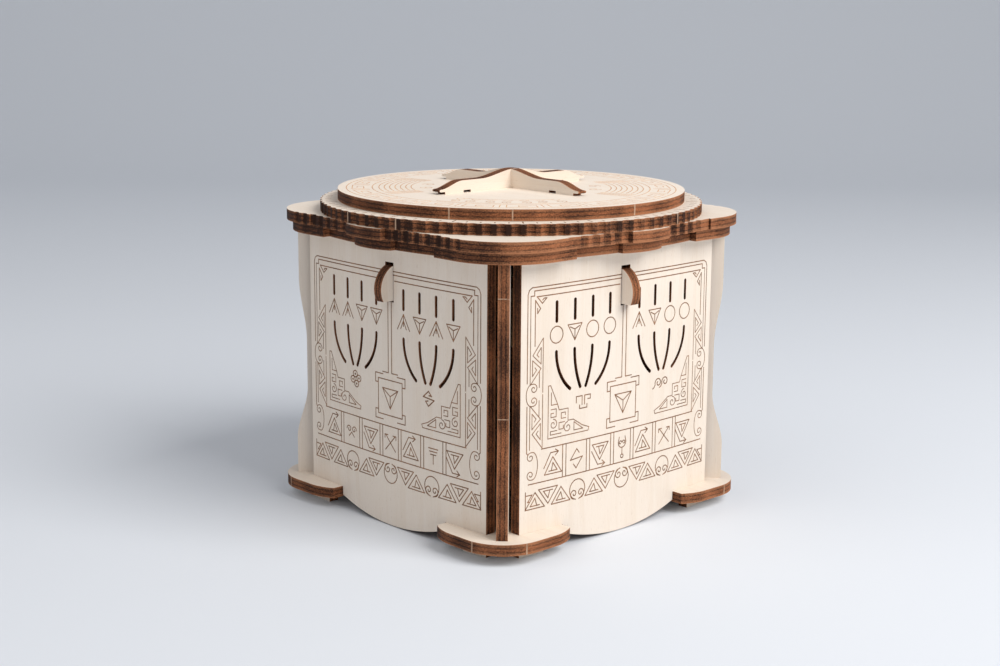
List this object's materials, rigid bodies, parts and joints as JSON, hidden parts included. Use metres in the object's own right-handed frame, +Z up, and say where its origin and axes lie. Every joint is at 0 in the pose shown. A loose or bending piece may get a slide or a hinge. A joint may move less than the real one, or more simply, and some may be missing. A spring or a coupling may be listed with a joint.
{
  "type": "combination puzzle box",
  "caption": "Laser-cut plywood cryptex-style puzzle box: square case on corner feet, slotted bowed panels with hook latches, and a round dial lid over gated combination wheels.",
  "frame": {"origin": "middle of the case, on the plane its tab feet rest on", "axes": "+Z up along the dial's axis, -Y out of the front panel, +X out of the right panel"},
  "size_m": [0.145, 0.145, 0.1271],
  "materials": {
    "case_ply": "satin",
    "lid_ply": "satin",
    "dial_ply": "satin",
    "latch_ply": "satin",
    "wheel_ply": "satin",
    "dowel_birch": "satin"
  },
  "bodies": {
    "case": {"base_plate": "case_ply", "front_panel": "case_ply", "right_panel": "case_ply", "back_panel": "case_ply", "left_panel": "case_ply", "front_left_post": "case_ply", "front_right_post": "case_ply", "back_right_post": "case_ply", "back_left_post": "case_ply", "rim_frame": "case_ply", "front_latch_bracket": "case_ply", "right_latch_bracket": "case_ply", "back_latch_bracket": "case_ply", "left_latch_bracket": "case_ply", "front_latch_pin": "dowel_birch", "right_latch_pin": "dowel_birch", "back_latch_pin": "dowel_birch", "left_latch_pin": "dowel_birch"},
    "front_latch": {"front_latch": "latch_ply"},
    "right_latch": {"right_latch": "latch_ply"},
    "back_latch": {"back_latch": "latch_ply"},
    "left_latch": {"left_latch": "latch_ply"},
    "lid": {"lid_plate": "lid_ply", "ring_hub": "lid_ply", "keeper_plate": "lid_ply", "cage_plate": "lid_ply", "cage_dowels": "dowel_birch", "wheel_washers": "lid_ply"},
    "dial": {"dial_disc": "dial_ply", "handle_blade_x": "dial_ply", "handle_blade_y": "dial_ply", "spindle": "dowel_birch", "drive_cam": "wheel_ply", "cam_peg": "dowel_birch"},
    "index_ring": {"index_ring": "lid_ply"},
    "wheel_1": {"wheel_1": "wheel_ply", "wheel_1_peg": "dowel_birch"},
    "wheel_2": {"wheel_2": "wheel_ply", "wheel_2_peg": "dowel_birch"},
    "wheel_3": {"wheel_3": "wheel_ply", "wheel_3_peg": "dowel_birch"}
  },
  "joints": [
    {"name": "lid_lift", "type": "slide", "parent": "case", "child": "lid", "axis": [0, 0, 1], "range_m": [0, 0.06]},
    {"name": "front_latch_pivot", "type": "hinge", "parent": "case", "child": "front_latch", "pos_m": [0, -0.0534, 0.0883], "axis": [-1, 0, 0], "range_deg": [0, 12]},
    {"name": "right_latch_pivot", "type": "hinge", "parent": "case", "child": "right_latch", "pos_m": [0.0534, 0, 0.0883], "axis": [0, -1, 0], "range_deg": [0, 12]},
    {"name": "back_latch_pivot", "type": "hinge", "parent": "case", "child": "back_latch", "pos_m": [0, 0.0534, 0.0883], "axis": [1, 0, 0], "range_deg": [0, 12]},
    {"name": "left_latch_pivot", "type": "hinge", "parent": "case", "child": "left_latch", "pos_m": [-0.0534, 0, 0.0883], "axis": [0, 1, 0], "range_deg": [0, 12]},
    {"name": "dial_turn", "type": "hinge", "parent": "lid", "child": "dial", "pos_m": [0, 0, 0.117], "axis": [0, 0, 1], "continuous": true},
    {"name": "index_ring_turn", "type": "hinge", "parent": "lid", "child": "index_ring", "pos_m": [0, 0, 0.1138], "axis": [0, 0, 1], "continuous": true},
    {"name": "wheel_1_turn", "type": "hinge", "parent": "lid", "child": "wheel_1", "pos_m": [0, 0, 0.083], "axis": [0, 0, 1], "continuous": true},
    {"name": "wheel_2_turn", "type": "hinge", "parent": "lid", "child": "wheel_2", "pos_m": [0, 0, 0.078], "axis": [0, 0, 1], "continuous": true},
    {"name": "wheel_3_turn", "type": "hinge", "parent": "lid", "child": "wheel_3", "pos_m": [0, 0, 0.073], "axis": [0, 0, 1], "continuous": true}
  ]
}
